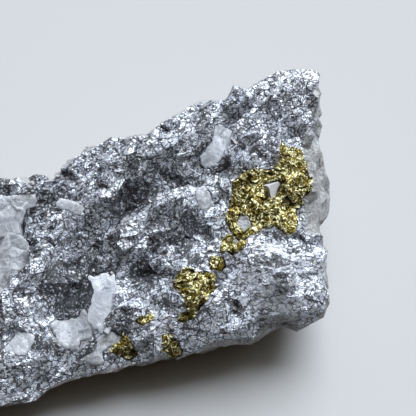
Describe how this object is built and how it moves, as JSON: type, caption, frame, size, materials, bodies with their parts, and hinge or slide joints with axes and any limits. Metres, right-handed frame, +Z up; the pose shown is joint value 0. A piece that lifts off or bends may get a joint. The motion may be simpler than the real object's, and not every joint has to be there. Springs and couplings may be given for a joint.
{
  "type": "mineral specimen",
  "caption": "Hand specimen of massive silvery skutterudite, broken rough on all sides, with grown-in brassy chalcopyrite and white calcite.",
  "frame": {"origin": "on the surface that the specimen rests on, under the middle of its bounding box", "axes": "+X along the specimen towards its high corner, +Y towards the back, +Z up; the broken face with the chalcopyrite looks up and towards -Y"},
  "size_m": [0.0874, 0.071, 0.031],
  "materials": {
    "skutterudite": "satin",
    "chalcopyrite": "satin",
    "calcite": "satin"
  },
  "bodies": {
    "root": {"skutterudite_mass": "skutterudite", "skutterudite_crystal": "skutterudite", "chalcopyrite_main_patch": "chalcopyrite", "chalcopyrite_lower_patch": "chalcopyrite", "chalcopyrite_vein_upper": "chalcopyrite", "chalcopyrite_vein_lower": "chalcopyrite", "chalcopyrite_left_speck": "chalcopyrite", "chalcopyrite_right_speck": "chalcopyrite", "chalcopyrite_sliver": "chalcopyrite", "chalcopyrite_back_patch": "chalcopyrite", "calcite_upper_patch": "calcite", "calcite_middle_patch": "calcite", "calcite_back_patch": "calcite", "calcite_cluster": "calcite", "calcite_pad": "calcite", "calcite_front_blocks": "calcite", "calcite_rhomb": "calcite", "calcite_bar": "calcite", "calcite_in_chalcopyrite": "calcite", "calcite_blade": "calcite"}
  },
  "joints": []
}
